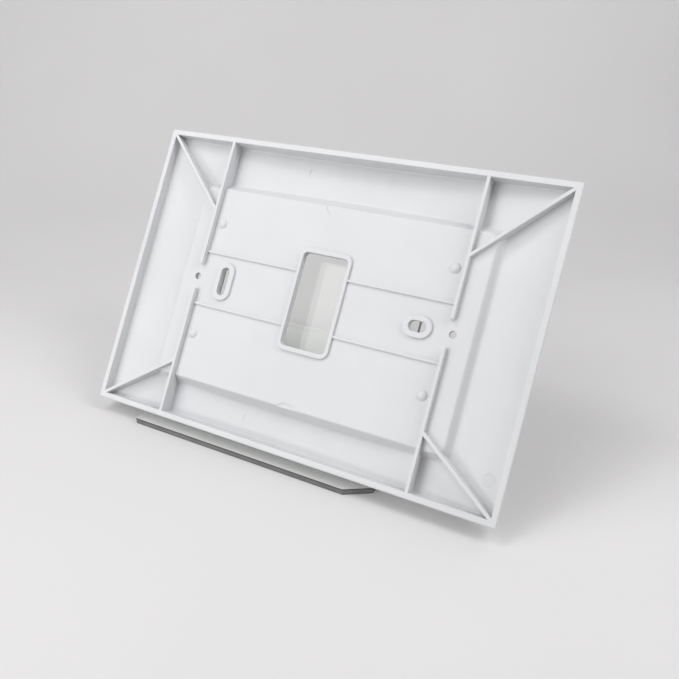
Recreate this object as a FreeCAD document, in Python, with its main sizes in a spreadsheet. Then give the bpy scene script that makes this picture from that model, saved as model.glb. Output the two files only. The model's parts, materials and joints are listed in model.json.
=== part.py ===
"""Wall trim plate, moulded in one piece, on a clear acrylic easel.

Row frame: millimetres, +Z up, X along the plate's long side, -Y towards the plate's ribbed wall side.
The origin is on the underside of the easel's base, straight below the middle of the plate's wall plane.
The plate is built in a frame of its own: x along the long side, y up the leaning plate, z out of its
wall side, with z = 0 on the plane that meets the wall. Depths count from there to the room side.
"""

import FreeCAD, Part
import math
import os
import Sketcher

DIMENSIONS = [
    # The plate's shell
    ("plate_width", 171.0, "long side at the wall plane"),
    ("plate_height", 117.5, "short side at the wall plane"),
    ("plate_depth", 9.4, "wall plane to the crown of the room side"),
    ("crown_radius", 950.0, "bend of the room side and of the inner floor about the plate's y"),
    ("shell_wall", 2.2, "thickness of the crowned floor"),
    ("rim_width", 2.35, "flat rim that meets the wall"),
    ("outer_draft", 10.0, "slope of the outer side walls, degrees"),
    ("inner_draft", 2.0, "slope of the inner side walls, degrees"),
    ("rim_rounding", 0.5, "edge radius round the outside of the rim"),
    ("edge_break", 0.2, "edge radius on the wall plane, inside the rim and on the ribs"),
    ("face_rounding", 0.6, "edge radius round the room side and down the corners"),
    ("inner_foot", 0.5, "radius where the inner walls meet the floor"),
    # The device recess, which stands up inside the shell as a platform
    ("platform_drop", 2.2, "wall plane to the platform"),
    ("platform_half_width", 61.9, "platform's flat top, middle to side"),
    ("platform_top", 37.4, "platform's flat top, middle to upper edge"),
    ("platform_bottom", 41.1, "platform's flat top, middle to lower edge"),
    ("platform_slope", 35.0, "lean of the platform's sides from the plate's z, degrees"),
    ("platform_corner", 4.5, "corner radius of the platform"),
    ("platform_edge", 1.0, "edge radius of the platform's top"),
    ("platform_foot", 1.2, "radius where the platform's sides meet the floor"),
    ("platform_wall", 2.0, "thickness of the platform, which is the recess floor"),
    ("recess_corner", 3.0, "corner radius of the recess"),
    ("recess_edge", 0.6, "radius at the foot of the recess sides"),
    # Ribs
    ("rib_width", 1.25, "tall ribs at their top"),
    ("rib_draft", 1.2, "slope of the tall ribs' sides, degrees"),
    ("rib_spread", 53.5, "middle to each upright rib"),
    ("rib_gap", 10.2, "gap in each upright rib, beside the small bore"),
    ("diagonal_top", 27.7, "middle to where the upper diagonals meet the upright ribs"),
    ("diagonal_bottom", 35.1, "middle to where the lower diagonals meet the upright ribs"),
    ("cross_width", 0.9, "thin ribs that frame the middle band"),
    ("cross_height", 10.8, "middle to each thin rib"),
    ("cross_drop", 1.5, "wall plane to the thin ribs' tops"),
    # Openings, and the collars that stand round them
    ("collar_drop", 1.2, "wall plane to the collars' tops"),
    ("collar_edge", 0.3, "edge radius of the collars' tops"),
    ("cable_width", 19.2, "cable opening, along x"),
    ("cable_height", 36.8, "cable opening, along y"),
    ("cable_corner", 1.8, "corner radius of the cable opening"),
    ("cable_collar_width", 21.9, "its collar, along x"),
    ("cable_collar_height", 40.4, "its collar, along y"),
    ("cable_collar_corner", 3.4, "corner radius of its collar"),
    ("slot_pitch", 83.3, "between the two screw slots, as on a single-gang wall box"),
    ("upright_slot_width", 3.8, "left screw slot, across"),
    ("upright_slot_length", 11.4, "left screw slot, end to end"),
    ("level_slot_width", 4.1, "right screw slot, across"),
    ("level_slot_length", 6.9, "right screw slot, end to end"),
    ("slot_land", 2.05, "width of the collar round each slot"),
    ("bore_spread", 54.7, "middle to each small bore"),
    ("bore_radius", 1.4, "small bores"),
    # Moulding marks
    ("nub_spread", 49.6, "middle to each nub, sideways"),
    ("nub_height", 23.0, "middle to each nub, up and down"),
    ("nub_radius", 2.1, "nub at its foot"),
    ("nub_rise", 1.0, "nub above the platform"),
    ("gate_radius", 6.2, "round gate marks that run over the platform's upper and lower edges"),
    ("gate_above", 39.1, "middle to the upper gate mark"),
    ("gate_below", 45.4, "middle to the lower gate mark"),
    ("gate_depth", 0.3, "depth of the gate marks"),
    ("flange_pin_x", 17.3, "middle to each ejector mark above and below the platform, sideways"),
    ("flange_pin_y", 50.0, "and up and down"),
    ("flange_pin_depth", 0.1, "their depth at their middle"),
    ("corner_pin_x", 79.0, "middle to the ejector mark in the lower right corner, sideways"),
    ("corner_pin_y", 44.5, "and down"),
    ("corner_pin_depth", 0.2, "its depth at its middle"),
    ("pin_radius", 2.35, "ejector marks"),
    # The easel
    ("lean", 34.0, "plate's lean back from upright, degrees"),
    ("clearance", 0.3, "air between the plate and the easel"),
    ("acrylic", 2.5, "thickness of the easel's sheet"),
    ("easel_width", 104.6, "base and back, along X"),
    ("easel_shift", -12.7, "middle of the easel along X, from the middle of the plate"),
    ("base_front", 33.8, "origin to the base's front edge"),
    ("base_depth", 103.0, "base, front to rear"),
    ("corner_along", 9.4, "the base's cut corner, along its front edge"),
    ("corner_back", 5.8, "the base's cut corner, along its side"),
    ("back_top", 32.0, "top edge of the back, up the lean from the plate's middle"),
    ("gusset_inset", 15.0, "middle of each gusset, in from the side of the base"),
    ("gusset_foot", 72.0, "gusset along the base"),
    ("gusset_rise", 66.0, "gusset along the back"),
    ("gusset_nose", 6.0, "blunt ends of the gusset"),
]

DEEP = 14  # a depth that lies past the plate's room side

AXIS_X = FreeCAD.Vector(1, 0, 0)
AXIS_Z = FreeCAD.Vector(0, 0, 1)
# Block frame to plate frame: the block's y becomes depth, and its z becomes the plate's y
BLOCK_TURN = "rotation(vector(1; 0; 0); -90deg)"
NO_TURN = "rotation(vector(0; 0; 1); 0deg)"
MIDDLE = f"placement(vector(0; 0; 0); {NO_TURN})"
RISE = "cos(@lean * 1deg)"
RUN = "sin(@lean * 1deg)"
PLATE_LOW_EDGE = "(@plate_height / 2 - @plate_depth * tan(@outer_draft * 1deg))"
PLATE_LIFT = f"(@acrylic + @clearance + {RISE} * {PLATE_LOW_EDGE} + {RUN} * @plate_depth)"

document = FreeCAD.newDocument("TrimPlate")


def make_sheet():
    cells = document.addObject("Spreadsheet::Sheet", "Dimensions")
    for row, (alias, value, meaning) in enumerate(DIMENSIONS, start=1):
        cells.set(f"A{row}", str(value))
        cells.setAlias(f"A{row}", alias)
        cells.set(f"B{row}", meaning)
    document.recompute()
    return cells


dimensions = make_sheet()


def bind(item, **expressions):
    """Binds properties to expressions, where @name is a cell and a double underscore is a dot."""
    for name, expression in expressions.items():
        item.setExpression(name.replace("__", "."), expression.replace("@", "Dimensions."))
    return item


def millimetres(expression):
    return f"({expression}) * 1mm"


def lean_with_plate(item, shift="0"):
    """Puts an item that is built in the plate's frame where the leaning plate is."""
    item.Placement.Rotation = FreeCAD.Rotation(AXIS_X, 45)
    bind(item, Placement__Rotation__Angle="(90 - @lean) * 1deg")
    bind(item, Placement__Base__x=millimetres(shift), Placement__Base__z=millimetres(PLATE_LIFT))
    return item


# Solids in the plate's frame

def wedge(name, top, bottom, half_width, low, high, widen_x="0", widen_y="0", place=MIDDLE):
    """A block between two depths whose sides move out by widen_x and widen_y per millimetre of depth."""
    block = document.addObject("Part::Wedge", name)
    run = f"(({bottom}) - ({top}))"
    wide = f"(({half_width}) + {run} * {widen_x})"
    bind(block, Ymax=millimetres(bottom), Ymin=millimetres(top))
    bind(block, Xmax=millimetres(half_width), Xmin=millimetres(f"-({half_width})"))
    bind(block, Zmax=millimetres(high), Zmin=millimetres(low))
    bind(block, X2max=millimetres(wide), X2min=millimetres(f"-{wide}"))
    bind(block, Z2max=millimetres(f"({high}) + {run} * {widen_y}"))
    bind(block, Z2min=millimetres(f"({low}) - {run} * {widen_y}"))
    bind(block, Placement=f"{place} * placement(vector(0; 0; 0); {BLOCK_TURN})")
    return block


def at(x="0", y="0", turn="0"):
    """Placement expression for a point of the plate, with a turn about the plate's z in degrees."""
    spot = f"vector({millimetres(x)}; {millimetres(y)}; 0mm)"
    return f"placement({spot}; rotation(vector(0; 0; 1); ({turn}) * 1deg))"


def crown(name, depth):
    """The drum that a crowned face lies on: its far side reaches the given depth at the plate's middle."""
    drum = document.addObject("Part::Cylinder", name)
    bind(drum, Radius=millimetres("@crown_radius"), Height=millimetres("@plate_height * 2"))
    spot = f"vector(0mm; {millimetres('-@plate_height')}; {millimetres(f'@crown_radius - ({depth})')})"
    bind(drum, Placement=f"placement({spot}; {BLOCK_TURN})")
    return drum


def post(name, radius, top, bottom, x, y):
    """A round post or drill between two depths."""
    cylinder = document.addObject("Part::Cylinder", name)
    bind(cylinder, Radius=millimetres(radius), Height=millimetres(f"({bottom}) - ({top})"))
    spot = f"vector({millimetres(x)}; {millimetres(y)}; {millimetres(f'-({bottom})')})"
    bind(cylinder, Placement=f"placement({spot}; {NO_TURN})")
    return cylinder


def together(name, items):
    fusion = document.addObject("Part::MultiFuse", name)
    fusion.Shapes = items
    fusion.Refine = True
    return fusion


def common(name, first, second):
    overlap = document.addObject("Part::Common", name)
    overlap.Base = first
    overlap.Tool = second
    return overlap


def cut(name, base, tool):
    remainder = document.addObject("Part::Cut", name)
    remainder.Base = base
    remainder.Tool = tool
    return remainder


def rounded(name, base, radius, test):
    """Rounds the edges whose every corner passes the test, by the radius in a named cell."""
    document.recompute()
    size = float(dimensions.get(radius))
    chosen = [
        (number, size, size)
        for number, edge in enumerate(base.Shape.Edges, start=1)
        if all(test(vertex.Point) for vertex in edge.Vertexes) and test(edge.valueAt(middle(edge)))
    ]
    fillet = document.addObject("Part::Fillet", name)
    fillet.Base = base
    fillet.Edges = chosen
    document.recompute()
    return fillet


def middle(edge):
    return (edge.FirstParameter + edge.LastParameter) / 2


def rounded_uprights(name, base, radius):
    """Rounds a block's four upright edges, which join its two faces of constant depth."""
    document.recompute()
    size = float(dimensions.get(radius))
    fillet = document.addObject("Part::Fillet", name)
    fillet.Base = base
    fillet.Edges = [
        (number, size, size)
        for number, edge in enumerate(base.Shape.Edges, start=1)
        if abs(edge.Vertexes[0].Z - edge.Vertexes[1].Z) > 1
    ]
    document.recompute()
    return fillet


def on_wall_plane(point):
    return abs(point.z) < 1e-4


def inside_rim(point):
    """Test for points of the wall plane that lie further in than the rounding round the rim."""
    margin = 2 * float(dimensions.get("rim_rounding"))
    side = float(dimensions.get("plate_width")) / 2 - margin
    end = float(dimensions.get("plate_height")) / 2 - margin
    return on_wall_plane(point) and abs(point.x) < side and abs(point.y) < end


def depth_is(cell):
    """Test for points at the depth in a named cell."""
    depth = float(dimensions.get(cell))
    return lambda point: abs(point.z + depth) < 1e-4


def frustum(name, top, inset, corner, edge, edge_test):
    """The platform's shape, or the recess's: flat top, sloping sides, rounded corners and top edge."""
    slope = "tan(@platform_slope * 1deg)"
    block = wedge(
        f"{name}Block", top, DEEP, f"@platform_half_width - ({inset})",
        f"-(@platform_bottom - ({inset}))", f"@platform_top - ({inset})", slope, slope,
    )
    corners = rounded_uprights(f"{name}Corners", block, corner)
    return rounded(name, corners, edge, edge_test)


# The plate, as a shell less a cavity

def make_shell():
    taper = "-tan(@outer_draft * 1deg)"
    block = wedge(
        "ShellBlock", "0", DEEP, "@plate_width / 2", "-@plate_height / 2", "@plate_height / 2", taper, taper
    )
    crowned = common("ShellCrowned", block, crown("RoomSide", "@plate_depth"))
    limit = -2 * float(dimensions.get("edge_break"))
    face = rounded("ShellFace", crowned, "face_rounding", lambda point: point.z < limit)
    return rounded("ShellRim", face, "rim_rounding", on_wall_plane)


def make_cavity():
    taper = "-tan(@inner_draft * 1deg)"
    side = "@plate_width / 2 - @rim_width"
    end = "@plate_height / 2 - @rim_width"
    block = wedge("CavityBlock", "0", DEEP, side, f"-({end})", end, taper, taper)
    floor = crown("InnerFloor", "@plate_depth - @shell_wall")
    walls = common("CavityWalls", block, floor)
    footed = rounded("CavityFoot", walls, "inner_foot", lambda point: point.z < -1)
    platform = frustum(
        "Platform", "@platform_drop", "0", "platform_corner", "platform_edge", depth_is("platform_drop")
    )
    hollow = cut("CavityHollow", footed, platform)
    document.recompute()
    reach = float(dimensions.get("platform_half_width")) + float(dimensions.get("plate_depth"))
    fall = float(dimensions.get("platform_drop")) + 2 * float(dimensions.get("platform_edge"))
    height = float(dimensions.get("platform_bottom")) + float(dimensions.get("plate_depth"))
    return rounded(
        "Cavity", hollow, "platform_foot",
        lambda point: abs(point.x) < reach and abs(point.y) < height and point.z < -fall,
    )


def make_tall_ribs():
    """Upright ribs, split beside the small bores, and diagonals from them to the rim's corners."""
    draft = "tan(@rib_draft * 1deg)"
    half = "@rib_width / 2"
    run = "(@plate_width / 2 - @rim_width - @rib_spread)"
    ribs = []
    for side, across in (("Left", -1), ("Right", 1)):
        for level, up, joint in (("Upper", 1, "@diagonal_top"), ("Lower", -1, "@diagonal_bottom")):
            half_turn = 90 * (1 - up)
            length = "(@plate_height / 2 - @rim_width / 2)"
            rib_foot = at(f"{across} * @rib_spread", turn=f"{half_turn}")
            ribs.append(wedge(
                f"{side}{level}Rib", "0", DEEP, half, "@rib_gap / 2", length, draft, place=rib_foot
            ))
            climb = f"(@plate_height / 2 - @rim_width - {joint})"
            reach = f"sqrt({run}^2 + {climb}^2) + @rim_width / 2"
            turn = f"{half_turn} - {across * up} * atan({run} / {climb}) / 1deg"
            diagonal_foot = at(f"{across} * @rib_spread", f"{up} * {joint}", turn)
            ribs.append(wedge(
                f"{side}{level}Diagonal", "0", DEEP, half, "0", reach, draft, place=diagonal_foot
            ))
    return ribs


def make_cross_ribs():
    """Thin ribs from the cable collar out to the upright ribs, above and below the middle band."""
    ribs = []
    for side, half_turn in (("Left", 90), ("Right", -90)):
        for level, up in (("Upper", 1), ("Lower", -1)):
            name = f"{side}{level}CrossRib"
            foot = at("0", f"{up} * @cross_height", f"{half_turn}")
            start = "@cable_width / 2 + @rim_width / 4"
            half = "@cross_width / 2"
            ribs.append(wedge(name, "@cross_drop", DEEP, half, start, "@rib_spread", place=foot))
    return ribs


def rounded_block(name, width, height, corner, top, bottom):
    block = wedge(f"{name}Block", top, bottom, f"{width} / 2", f"-{height} / 2", f"{height} / 2")
    return rounded_uprights(name, block, corner)


def obround(name, width, length, top, bottom, x, turn):
    """A prism with half-round ends, centred on the plate's middle line; turn 0 stands it upright."""
    straight = f"(({length}) - ({width})) / 2"
    body = wedge(
        f"{name}Middle", top, bottom, f"({width}) / 2", f"-({straight})", straight, place=at(x, turn=turn)
    )
    ends = []
    for end, way in (("Start", -1), ("Stop", 1)):
        off_x = f"({x}) - {way} * ({straight}) * sin(({turn}) * 1deg)"
        off_y = f"{way} * ({straight}) * cos(({turn}) * 1deg)"
        ends.append(post(f"{name}{end}", f"({width}) / 2", top, bottom, off_x, off_y))
    return together(name, [body] + ends)


SLOTS = [
    ("UprightSlot", "@upright_slot_width", "@upright_slot_length", "-@slot_pitch / 2", "0"),
    ("LevelSlot", "@level_slot_width", "@level_slot_length", "@slot_pitch / 2", "90"),
]


def make_collars():
    """The raised collars round the cable opening and the two screw slots."""
    blocks = [rounded_block(
        "CableCollar", "@cable_collar_width", "@cable_collar_height", "cable_collar_corner",
        "@collar_drop", DEEP,
    )]
    for name, width, length, x, turn in SLOTS:
        around = "2 * @slot_land"
        blocks.append(obround(
            f"{name}Collar", f"{width} + {around}", f"{length} + {around}", "@collar_drop", DEEP, x, turn
        ))
    return [rounded(f"{block.Name}Edge", block, "collar_edge", depth_is("collar_drop")) for block in blocks]


def make_nubs():
    nubs = []
    ball_radius = "(@nub_radius^2 + @nub_rise^2) / (2 * @nub_rise)"
    for side, across in (("Left", -1), ("Right", 1)):
        for level, up in (("Upper", 1), ("Lower", -1)):
            ball = document.addObject("Part::Sphere", f"{side}{level}Nub")
            height = f"{ball_radius} - @nub_rise + @platform_drop"
            spot = (
                f"vector({millimetres(f'{across} * @nub_spread')}; {millimetres(f'{up} * @nub_height')};"
                f" {millimetres(f'-({height})')})"
            )
            bind(ball, Radius=millimetres(ball_radius))
            bind(ball, Placement=f"placement({spot}; {NO_TURN})")
            nubs.append(ball)
    return nubs


PIN_MARKS = [("flange_pin", across, up) for across in (-1, 1) for up in (-1, 1)] + [("corner_pin", 1, -1)]


def make_drills():
    """Everything that passes through the recess floor, and the shallow marks that gates and pins left."""
    drills = [rounded_block("CableOpening", "@cable_width", "@cable_height", "cable_corner", "0", DEEP)]
    for name, width, length, x, turn in SLOTS:
        drills.append(obround(name, width, length, "0", DEEP, x, turn))
    for side, across in (("Left", -1), ("Right", 1)):
        drills.append(post(f"{side}Bore", "@bore_radius", "0", DEEP, f"{across} * @bore_spread", "0"))
    for level, y in (("Upper", "@gate_above"), ("Lower", "-@gate_below")):
        mark_foot = "@platform_drop + @gate_depth"
        drills.append(post(f"{level}Gate", "@gate_radius", "0", mark_foot, "0", y))
    for name, x, y in PIN_MARKS:
        mark_foot = f"@plate_depth - @shell_wall - @{name}_x^2 / (2 * @crown_radius) + @{name}_depth"
        along, up = f"{x} * @{name}_x", f"{y} * @{name}_y"
        drills.append(post(f"Mark_{name}", "@pin_radius", "0", mark_foot, along, up))
    return drills


def make_recess():
    """The device recess in the room side, which follows the platform's shape one wall thickness inside."""
    drop = "@platform_drop + @platform_wall"
    inset = "(@platform_wall / cos(@platform_slope * 1deg) - @platform_wall * tan(@platform_slope * 1deg))"
    depth = float(dimensions.get("platform_drop")) + float(dimensions.get("platform_wall"))
    return frustum(
        "Recess", drop, inset, "recess_corner", "recess_edge", lambda point: abs(point.z + depth) < 1e-4
    )


def make_plate():
    stiffening = together("Stiffening", make_tall_ribs() + make_cross_ribs() + make_collars() + make_nubs())
    clear = cut("ClearCavity", make_cavity(), stiffening)
    moulding = cut("Moulding", make_shell(), clear)
    opened = cut("Opened", moulding, together("Openings", make_drills() + [make_recess()]))
    plate = rounded("Plate", opened, "edge_break", inside_rim)
    plate.Label = "trim_plate"
    return lean_with_plate(plate)


# The easel, cut from flat sheet. A profile's first coordinate runs along Y, or along the plate's y.

BACK_FRONT = "-(@plate_depth + @clearance)"
BACK_REAR = "-(@plate_depth + @clearance + @acrylic)"


def foot_on_base(z):
    """Where a leaning plane, at z in the plate's frame, comes down to the base's upper face."""
    return f"((@acrylic - {PLATE_LIFT} - {RUN} * ({z})) / {RISE})"


GUSSET_HEEL = f"({RUN} * {foot_on_base(BACK_REAR)} - {RISE} * {BACK_REAR})"


def sheet_part(label, plane, corners, thickness, side_type):
    """A body padded from a polygon on one of its origin planes; every corner is bound to the sheet."""
    body = document.addObject("PartDesign::Body", label)
    sketch = body.newObject("Sketcher::SketchObject", f"{label}_outline")
    sketch.AttachmentSupport = (
        next(feature for feature in body.Origin.OriginFeatures if feature.Role == plane), ""
    )
    sketch.MapMode = "FlatFace"
    turn = 2 * math.pi / len(corners)
    ring = [FreeCAD.Vector(50 * math.cos(turn * n), 50 * math.sin(turn * n), 0) for n in range(len(corners))]
    for line, start in enumerate(ring):
        sketch.addGeometry(Part.LineSegment(start, ring[(line + 1) % len(ring)]))
    for line in range(len(corners)):
        following = (line + 1) % len(corners)
        sketch.addConstraint(Sketcher.Constraint("Coincident", line, 2, following, 1))
    for line, (along, up) in enumerate(corners):
        for kind, expression, first in (("DistanceX", along, ring[line].x), ("DistanceY", up, ring[line].y)):
            number = sketch.addConstraint(Sketcher.Constraint(kind, -1, 1, line, 1, first))
            sketch.renameConstraint(number, f"{kind}{line}")
            bind(sketch, **{f"Constraints__{kind}{line}": millimetres(expression)})
    pad = body.newObject("PartDesign::Pad", f"{label}_pad")
    pad.Profile = sketch
    pad.SideType = side_type
    bind(pad, Length=millimetres(thickness))
    document.recompute()
    body.Label = label
    return body


def make_base():
    """The base, whose right front corner is cut off."""
    left = "@easel_shift - @easel_width / 2"
    right = "@easel_shift + @easel_width / 2"
    rear = "@base_depth - @base_front"
    outline = [
        (left, "-@base_front"),
        (f"{right} - @corner_along", "-@base_front"),
        (right, "@corner_back - @base_front"),
        (right, rear),
        (left, rear),
    ]
    return sheet_part("easel_base", "XY_Plane", outline, "@acrylic", "One side")


def make_back():
    """The leaning sheet behind the plate's room side. Its foot is cut level, to stand on the base."""
    profile = [
        (foot_on_base(BACK_REAR), BACK_REAR),
        ("@back_top", BACK_REAR),
        ("@back_top", BACK_FRONT),
        (foot_on_base(BACK_FRONT), BACK_FRONT),
    ]
    back = sheet_part("easel_back", "YZ_Plane", profile, "@easel_width", "Symmetric")
    return lean_with_plate(back, "@easel_shift")


def make_gusset(label, across):
    """A triangular web behind the back, with its two sharp ends cut blunt."""
    heel_up = "@acrylic"
    toe = f"{GUSSET_HEEL} + @gusset_foot"
    top = (f"{GUSSET_HEEL} + {RUN} * @gusset_rise", f"{heel_up} + {RISE} * @gusset_rise")
    profile = [
        (GUSSET_HEEL, heel_up),
        (toe, heel_up),
        (toe, f"{heel_up} + @gusset_nose"),
        (f"{top[0]} + {RISE} * @gusset_nose", f"{top[1]} - {RUN} * @gusset_nose"),
        top,
    ]
    gusset = sheet_part(label, "YZ_Plane", profile, "@acrylic", "Symmetric")
    side = f"@easel_shift + {across} * (@easel_width / 2 - @gusset_inset)"
    return bind(gusset, Placement__Base__x=millimetres(side))


def report_failures():
    """Lists objects that did not recompute, so that nothing broken is written."""
    broken = [item for item in document.Objects if {"Invalid", "Error"} & set(item.State)]
    return [f"{item.Label}: {item.State}" for item in broken]


def write_parts(parts):
    document.recompute()
    shapeless = [item for item in parts if item.Shape.isNull() or not item.Shape.isValid()]
    failures = report_failures() + [f"{item.Label}: no valid shape" for item in shapeless]
    if failures:
        raise RuntimeError("; ".join(failures))
    os.makedirs("parts", exist_ok=True)
    for item in parts:
        box = item.Shape.BoundBox
        item.Shape.exportStep(f"parts/{item.Label}.step")
        print(
            f"{item.Label}: {len(item.Shape.Solids)} solid, {item.Shape.Volume / 1000:.2f} cm3, "
            f"X {box.XMin:.2f}..{box.XMax:.2f}, "
            f"Y {box.YMin:.2f}..{box.YMax:.2f}, Z {box.ZMin:.2f}..{box.ZMax:.2f}"
        )


write_parts([
    make_plate(),
    make_base(),
    make_back(),
    make_gusset("easel_gusset_left", -1),
    make_gusset("easel_gusset_right", 1),
])
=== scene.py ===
"""Looks for a white moulded trim plate on a clear acrylic easel, in a small paper sweep.

Everything is in metres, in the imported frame: +Z up, X along the plate's long side, and -Y towards the
plate's wall side.
"""

import json
import math

import bmesh
import bpy
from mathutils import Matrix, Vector

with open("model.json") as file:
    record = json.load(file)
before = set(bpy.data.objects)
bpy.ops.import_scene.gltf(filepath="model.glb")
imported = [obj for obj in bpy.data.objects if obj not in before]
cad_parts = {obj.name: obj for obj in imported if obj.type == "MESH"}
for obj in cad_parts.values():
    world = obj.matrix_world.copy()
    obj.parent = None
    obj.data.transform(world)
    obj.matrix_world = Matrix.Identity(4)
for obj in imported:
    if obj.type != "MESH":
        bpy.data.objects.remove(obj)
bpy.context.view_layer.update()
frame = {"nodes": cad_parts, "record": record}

MILLIMETRE = 0.001

# Camera
CAMERA_PLACE = Vector((0.1211, -0.2095, 0.1717))
CAMERA_TURN = math.radians(27.63)
CAMERA_TILT = math.radians(28.71)
CAMERA_LENS = 37.94

# The paper sweep is square to the camera. Its distances are counted from the origin.
SWEEP_FRONT = 1.6
SWEEP_BEND = 0.15
SWEEP_RADIUS = 0.30
SWEEP_TOP = 1.1
SWEEP_HALF_WIDTH = 1.5
SWEEP_DROP = 0.1 * MILLIMETRE
SWEEP_STEPS = 24

# Softboxes that face the object's middle. Each has a name, its azimuth and elevation in degrees, its
# distance, width and height in metres, and its power in watts. Azimuth 0 is in front of the object, and 90
# is on its right.
MIDDLE = Vector((0.0, 0.0, 0.055))
SOFTBOXES = [
    ("left_sheet", -22, 40, 0.50, 0.26, 0.42, 0.72),
    ("left_key", -64, 40, 0.50, 0.08, 0.08, 0.19),
    ("left_high", -60, 68, 0.50, 0.16, 0.16, 0.68),
    ("left_low", -55, 16, 0.50, 0.20, 0.12, 0.10),
    ("front_low", -28, 5, 0.60, 0.30, 0.08, 0.60),
    ("front_far", -35, 14, 1.00, 0.40, 0.20, 0.80),
    ("right_sheet", 92, 42, 0.50, 0.16, 0.42, 1.10),
    ("behind_right", 150, 45, 0.60, 0.30, 0.30, 0.40),
]
ROOM_COLOUR = (0.98, 0.98, 1.0, 1)
ROOM_LIGHT = 0.36

# White plastic. Here and below, a scale is in cells of noise per metre, and a range holds the values of
# noise that are spread over the whole effect.
PLASTIC_COLOURS = ((0.60, 0.605, 0.617, 1), (0.625, 0.63, 0.638, 1))
PLASTIC_INDEX = 1.5
PLASTIC_ROUGHNESS = (0.36, 0.50)
FLOW_SCALE = 28.0
FLOW_RANGE = (0.35, 0.65)
SKIN_SCALE = 320.0
SKIN_RANGE = (0.3, 0.7)
SKIN_DEPTH = 0.03 * MILLIMETRE
GRAIN_SCALE = 2600.0
GRAIN_DEPTH = 0.02 * MILLIMETRE
TEXTURE_STRENGTH = 0.25

# Acrylic. A point is on an edge or on a face of the sheet where its normal's share along the sheet's axis is
# below the first value of FACE_SHARE or above the second. The cut edges carry painted reflection: dark
# tones, standing in for what the clear edges reflect, that run through the sheet's thickness.
ACRYLIC_INDEX = 1.49
ACRYLIC_TINT = (0.980, 0.986, 0.980, 1)
FACE_SHARE = (0.7, 0.95)
FACE_ROUGHNESS = 0.04
EDGE_ROUGHNESS = 0.25
PAINTED_EDGE_REFLECTION = ((0.0, 0.05), (0.12, 0.14), (0.30, 0.19), (0.65, 0.18), (0.82, 0.08), (1.0, 0.03))
STREAK_SCALE = 160.0
STREAK_RANGE = (0.35, 0.7)
STREAK_TONE = 0.08
STREAK_SHARE = 0.5
BASE_FROST = 0.3
FROST_COLOUR = (0.90, 0.91, 0.89, 1)

# Paper. Its painted shade, greyer where it bends up, runs from the origin back to the foot of the upright
# part.
PAPER_COLOURS = ((0.665, 0.655, 0.656, 1), (0.685, 0.675, 0.676, 1))
PAPER_PAINTED_SHADE = ((0.0, 0.98), (0.22, 0.95), (0.52, 0.90), (1.0, 1.0))
PAPER_ROUGHNESS = 0.85
PAPER_CLOUD_SCALE = 6.0
PAPER_CLOUD_RANGE = (0.3, 0.7)
FIBRE_SCALE = 900.0
FIBRE_STRENGTH = 0.1
FIBRE_DEPTH = 0.05 * MILLIMETRE


# Node helpers

def new_material(name):
    material = bpy.data.materials.new(name)
    material.use_nodes = True
    tree = material.node_tree
    shader = tree.nodes["Principled BSDF"]
    return material, tree, shader


def node(tree, kind, inputs=None, **settings):
    """Adds a node, with settings as its properties and inputs as a dictionary of values or links."""
    made = tree.nodes.new(kind)
    for name, value in settings.items():
        setattr(made, name, value)
    for name, value in (inputs or {}).items():
        if isinstance(value, bpy.types.NodeSocket):
            tree.links.new(value, made.inputs[name])
        else:
            made.inputs[name].default_value = value
    return made


def noise(tree, place, scale, detail=3.0, roughness=0.55):
    made = node(
        tree, "ShaderNodeTexNoise",
        {"Vector": place, "Scale": scale, "Detail": detail, "Roughness": roughness},
    )
    return made.outputs["Fac"]


def along(tree, vector, axis):
    """How far a vector reaches along an axis."""
    made = node(tree, "ShaderNodeVectorMath", {0: vector, 1: axis}, operation="DOT_PRODUCT")
    return made.outputs["Value"]


def spread(tree, value, low, high, source=(0.0, 1.0)):
    """Maps a value from the source range to low..high."""
    made = node(
        tree, "ShaderNodeMapRange",
        {"Value": value, "From Min": source[0], "From Max": source[1], "To Min": low, "To Max": high},
    )
    return made.outputs["Result"]


def mix_colour(tree, share, first, second, blend="MIX"):
    """Mixes two colours. The Mix node keeps them on its seventh and eighth sockets, and gives its third."""
    made = node(
        tree, "ShaderNodeMix", {0: share, 6: first, 7: second}, data_type="RGBA", blend_type=blend
    )
    return made.outputs[2]


def mix_shaders(tree, share, first, second):
    return node(tree, "ShaderNodeMixShader", {0: share, 1: first, 2: second}).outputs["Shader"]


def tones(tree, value, stops):
    """Turns 0..1 into greys, from stops of place and tone in rising order."""
    made = node(tree, "ShaderNodeValToRGB", {"Fac": value})
    ramp = made.color_ramp
    ramp.elements[0].color = grey(stops[0][1])
    ramp.elements[1].color = grey(stops[-1][1])
    for position, tone in stops[1:-1]:
        ramp.elements.new(position).color = grey(tone)
    return made.outputs["Color"]


def grey(value):
    return value, value, value, 1.0


# Materials

def moulding():
    """White moulded plastic: satin and finely textured, with faint clouds from the flow of the melt."""
    material, tree, shader = new_material("moulding_plastic")
    place = node(tree, "ShaderNodeTexCoord").outputs["Object"]
    flow = noise(tree, place, FLOW_SCALE, detail=2.0)
    grain = noise(tree, place, GRAIN_SCALE, detail=2.0, roughness=0.6)
    skin = noise(tree, place, SKIN_SCALE)
    cloud = spread(tree, flow, 0.0, 1.0, FLOW_RANGE)
    tree.links.new(mix_colour(tree, cloud, *PLASTIC_COLOURS), shader.inputs["Base Color"])
    tree.links.new(spread(tree, skin, *PLASTIC_ROUGHNESS, SKIN_RANGE), shader.inputs["Roughness"])
    fine = node(
        tree, "ShaderNodeBump",
        {"Height": grain, "Strength": TEXTURE_STRENGTH, "Distance": GRAIN_DEPTH},
    )
    broad = node(
        tree, "ShaderNodeBump",
        {
            "Height": skin, "Strength": TEXTURE_STRENGTH, "Distance": SKIN_DEPTH,
            "Normal": fine.outputs["Normal"],
        },
    )
    tree.links.new(broad.outputs["Normal"], shader.inputs["Normal"])
    shader.inputs["IOR"].default_value = PLASTIC_INDEX
    return material


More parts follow.
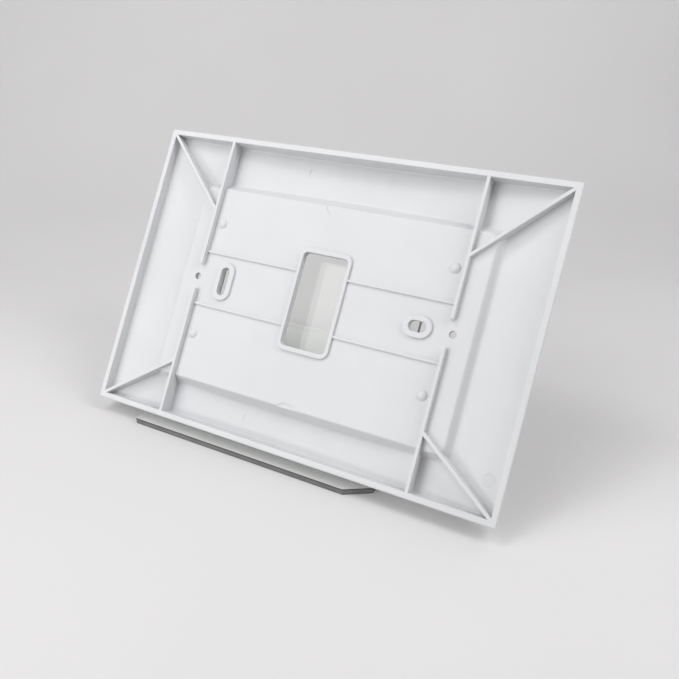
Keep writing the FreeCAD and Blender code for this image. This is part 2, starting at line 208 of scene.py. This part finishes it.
def span(name, axis):
    """Lowest and highest place of a node's points along an axis."""
    places = [vertex.co.dot(axis) for vertex in frame["nodes"][name].data.vertices]
    return min(places), max(places)


def edge_with_painted_reflection(tree, shader, place, name, axis):
    """A sawn and polished edge, opaque, with painted reflection: dark bands along the sheet, with streaks.
    """
    bands = tones(tree, spread(tree, along(tree, place, axis), 0.0, 1.0, span(name, axis)), PAINTED_EDGE_REFLECTION)
    streaks = noise(tree, place, STREAK_SCALE, detail=4.0)
    streaks = spread(tree, streaks, 0.0, STREAK_SHARE, STREAK_RANGE)
    # Painted reflection: the dark bands and streaks stand in for what the clear edge reflects.
    tree.links.new(mix_colour(tree, streaks, bands, grey(STREAK_TONE)), shader.inputs["Base Color"])
    shader.inputs["Roughness"].default_value = EDGE_ROUGHNESS
    shader.inputs["IOR"].default_value = ACRYLIC_INDEX
    return shader.outputs["BSDF"]


def clear_face(tree, far_side):
    """Lets light straight through, apart from what a polished face reflects."""
    see_through = node(tree, "ShaderNodeBsdfTransparent", {"Color": ACRYLIC_TINT}).outputs["BSDF"]
    gloss = node(tree, "ShaderNodeBsdfGlossy", {"Color": grey(1.0), "Roughness": FACE_ROUGHNESS})
    # Light doesn't bend here, so that a face has to reflect as much from inside the sheet as from outside
    index = spread(tree, far_side, ACRYLIC_INDEX, 1 / ACRYLIC_INDEX)
    mirror = node(tree, "ShaderNodeFresnel", {"IOR": index}).outputs["Fac"]
    return mix_shaders(tree, mirror, see_through, gloss.outputs["BSDF"])


def acrylic(name, axis, frost=0.0):
    """Clear sheet with polished faces, and cut edges: painted dark reflection outside, clear from inside.

    The axis points through the sheet. The frost is the share of light that the face on the axis's side
    scatters back.
    """
    material, tree, shader = new_material(f"{name}_acrylic")
    coordinates = node(tree, "ShaderNodeTexCoord")
    place = coordinates.outputs["Object"]
    towards = along(tree, coordinates.outputs["Normal"], axis)
    facing = node(tree, "ShaderNodeMath", {0: towards}, operation="ABSOLUTE").outputs["Value"]
    on_face = spread(tree, facing, 0.0, 1.0, FACE_SHARE)
    far_side = node(tree, "ShaderNodeNewGeometry").outputs["Backfacing"]
    clear = node(tree, "ShaderNodeMath", {0: on_face, 1: far_side}, operation="MAXIMUM").outputs["Value"]

    edge = edge_with_painted_reflection(tree, shader, place, name, axis)
    scattered = spread(tree, towards, 0.0, frost, FACE_SHARE)
    matt = node(tree, "ShaderNodeBsdfDiffuse", {"Color": FROST_COLOUR}).outputs["BSDF"]
    face = mix_shaders(tree, scattered, clear_face(tree, far_side), matt)
    whole = mix_shaders(tree, clear, edge, face)
    tree.links.new(whole, tree.nodes["Material Output"].inputs["Surface"])
    return material


def paper():
    """Matt white paper, with painted shade that greys it where it starts to rise behind the object."""
    material, tree, shader = new_material("sweep_paper")
    place = node(tree, "ShaderNodeTexCoord").outputs["Object"]
    fibre = noise(tree, place, FIBRE_SCALE, detail=4.0)
    cloud = noise(tree, place, PAPER_CLOUD_SCALE, detail=2.0)
    cloud = spread(tree, cloud, 0.0, 1.0, PAPER_CLOUD_RANGE)
    back = node(tree, "ShaderNodeSeparateXYZ", {"Vector": place}).outputs["Y"]
    # Painted shade: the paper darkens where it bends up behind the object, as if less light reached it
    # there.
    painted_falloff = tones(tree, spread(tree, back, 0.0, 1.0, (0.0, SWEEP_BEND + SWEEP_RADIUS)), PAPER_PAINTED_SHADE)
    colour = mix_colour(tree, 1.0, mix_colour(tree, cloud, *PAPER_COLOURS), painted_falloff, blend="MULTIPLY")
    tree.links.new(colour, shader.inputs["Base Color"])
    shader.inputs["Roughness"].default_value = PAPER_ROUGHNESS
    bump = node(
        tree, "ShaderNodeBump", {"Height": fibre, "Strength": FIBRE_STRENGTH, "Distance": FIBRE_DEPTH}
    )
    tree.links.new(bump.outputs["Normal"], shader.inputs["Normal"])
    return material


def dress(node_name, material):
    """Gives a CAD node its finished material."""
    for slot in frame["nodes"][node_name].material_slots:
        slot.material = material


def wall_side():
    """Unit vector out of the plate's wall side, which the back sheet is parallel to."""
    mount = next(mount for mount in frame["record"]["mounts"] if mount["name"] == "wall_face")
    return Vector(mount["axis"])


# Stage, lights and camera

def add_sweep():
    """A sheet of paper: flat in front, bent up behind, upright at the back."""
    mesh = bpy.data.meshes.new("sweep")
    sheet = bmesh.new()
    profile = [(-SWEEP_FRONT, 0.0), (0.0, 0.0)]
    for step in range(SWEEP_STEPS + 1):
        angle = math.pi / 2 * step / SWEEP_STEPS
        back = SWEEP_BEND + SWEEP_RADIUS * math.sin(angle)
        profile.append((back, SWEEP_RADIUS * (1 - math.cos(angle))))
    profile.append((SWEEP_BEND + SWEEP_RADIUS, SWEEP_TOP))
    rows = [
        [sheet.verts.new((side * SWEEP_HALF_WIDTH, back, up - SWEEP_DROP)) for side in (-1, 1)]
        for back, up in profile
    ]
    for near, far in zip(rows, rows[1:]):
        sheet.faces.new((near[0], near[1], far[1], far[0]))
    sheet.to_mesh(mesh)
    sheet.free()
    mesh.shade_smooth()
    sweep = bpy.data.objects.new("sweep", mesh)
    sweep.rotation_euler.z = CAMERA_TURN
    mesh.materials.append(paper())
    bpy.context.scene.collection.objects.link(sweep)


def add_softbox(name, azimuth, elevation, distance, width, height, power):
    data = bpy.data.lights.new(name, "AREA")
    data.shape = "RECTANGLE"
    data.size, data.size_y = width, height
    data.energy = power
    turn, rise = math.radians(azimuth), math.radians(elevation)
    away = Vector((math.sin(turn) * math.cos(rise), -math.cos(turn) * math.cos(rise), math.sin(rise)))
    light = bpy.data.objects.new(name, data)
    light.location = MIDDLE + away * distance
    light.rotation_euler = (-away).to_track_quat("-Z", "Y").to_euler()
    bpy.context.scene.collection.objects.link(light)


def add_room():
    world = bpy.data.worlds.new("room")
    bpy.context.scene.world = world
    world.use_nodes = True
    background = world.node_tree.nodes["Background"]
    background.inputs["Color"].default_value = ROOM_COLOUR
    background.inputs["Strength"].default_value = ROOM_LIGHT


def add_camera():
    data = bpy.data.cameras.new("camera")
    data.lens = CAMERA_LENS
    data.clip_start = 0.01
    camera = bpy.data.objects.new("camera", data)
    camera.location = CAMERA_PLACE
    camera.rotation_euler = (math.pi / 2 - CAMERA_TILT, 0.0, CAMERA_TURN)
    bpy.context.scene.collection.objects.link(camera)
    bpy.context.scene.camera = camera


bpy.context.scene.view_settings.view_transform = "Standard"
dress("trim_plate", moulding())
dress("easel_base", acrylic("easel_base", Vector((0, 0, 1)), frost=BASE_FROST))
dress("easel_back", acrylic("easel_back", wall_side()))
for side in ("left", "right"):
    dress(f"easel_gusset_{side}", acrylic(f"easel_gusset_{side}", Vector((1, 0, 0))))
add_sweep()
add_room()
for softbox in SOFTBOXES:
    add_softbox(*softbox)
add_camera()
